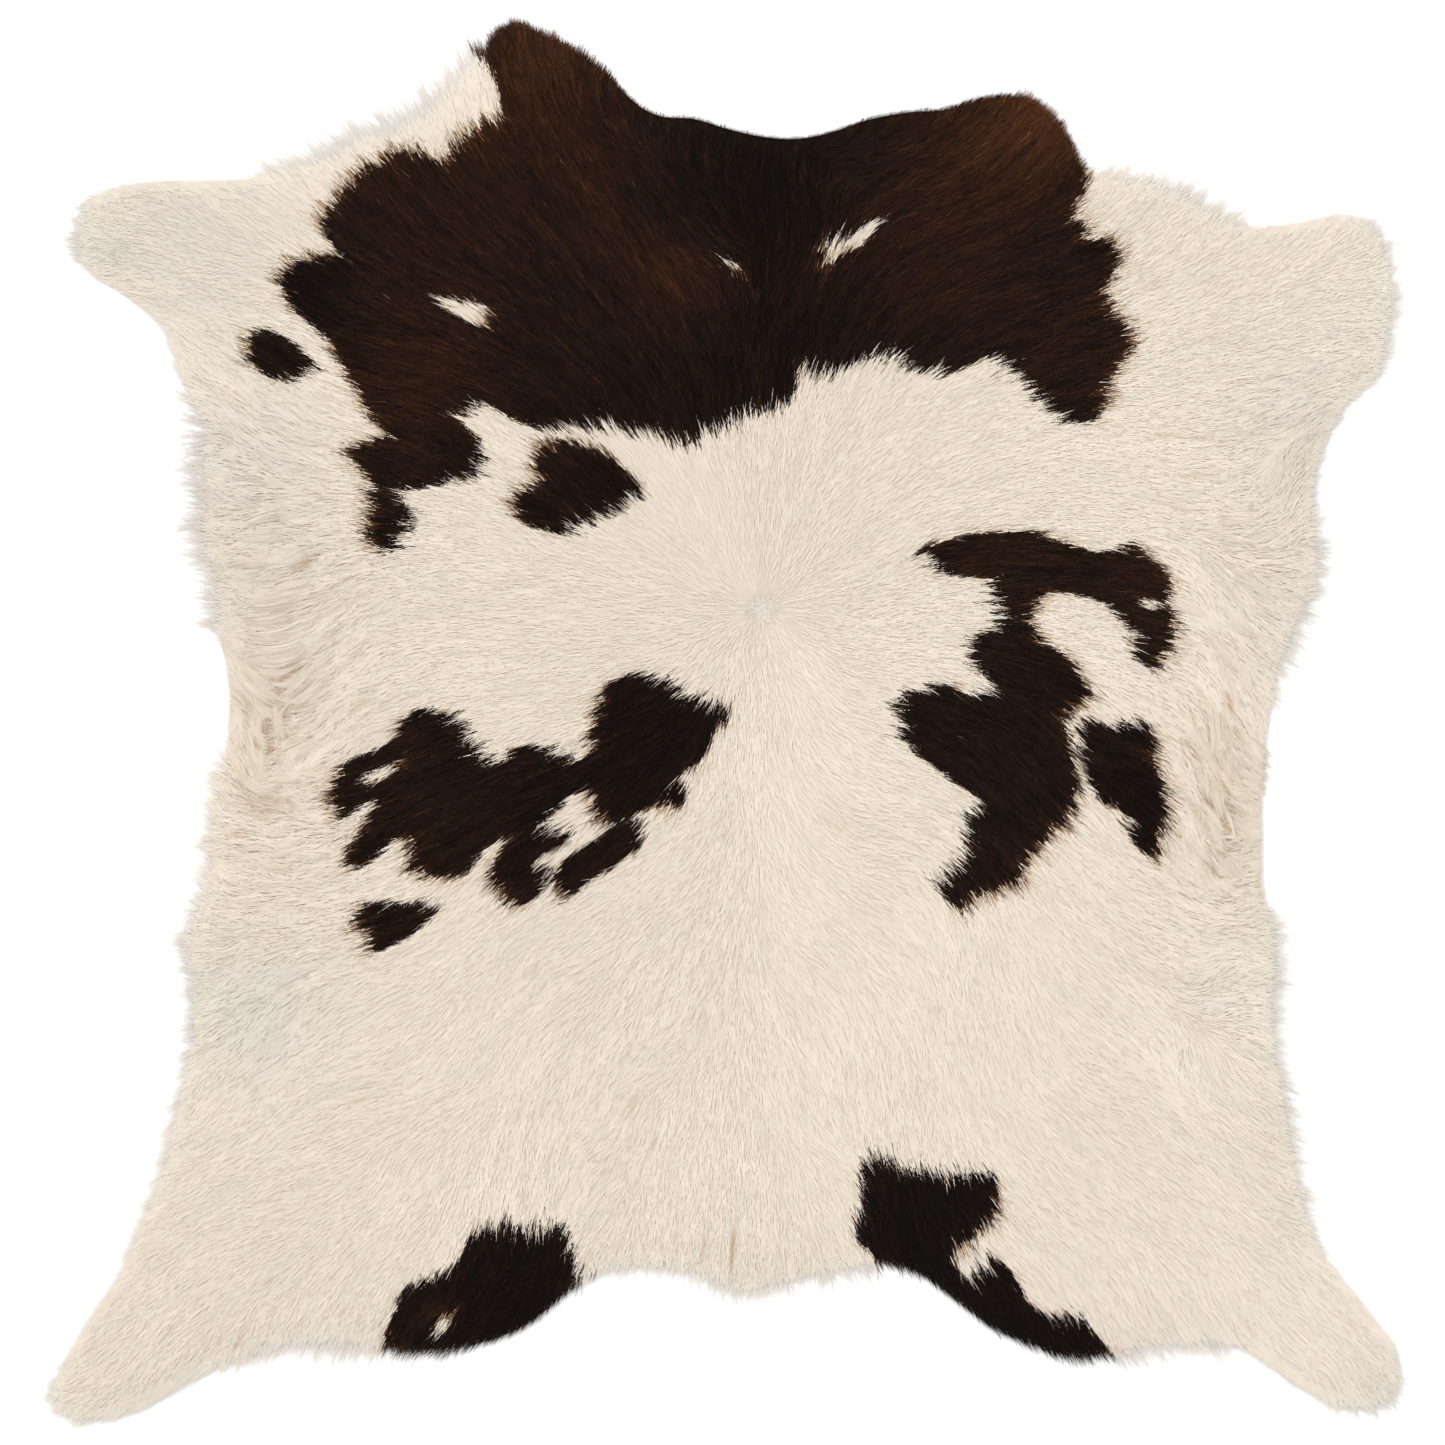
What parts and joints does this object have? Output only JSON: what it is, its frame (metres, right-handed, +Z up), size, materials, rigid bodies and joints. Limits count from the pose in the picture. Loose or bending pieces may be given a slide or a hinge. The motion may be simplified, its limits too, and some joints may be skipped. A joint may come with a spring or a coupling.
{
  "type": "calfskin rug",
  "caption": "Flat calfskin rug with its hair on, cream with brown and black patches, cut along the skin's own uneven outline.",
  "frame": {"origin": "middle of the hide's box, on its flat underside", "axes": "+Z up with the hair side up, +Y towards the neck, +X to the right seen from above"},
  "size_m": [0.934, 0.9712, 0.0075],
  "materials": {
    "coat": "short sleek calf hair, cream with dark brown to black patches, soft sheen along the hair",
    "skin": "matt off-white suede on the flesh side"
  },
  "bodies": {
    "root": {"hide": "coat"}
  },
  "joints": []
}
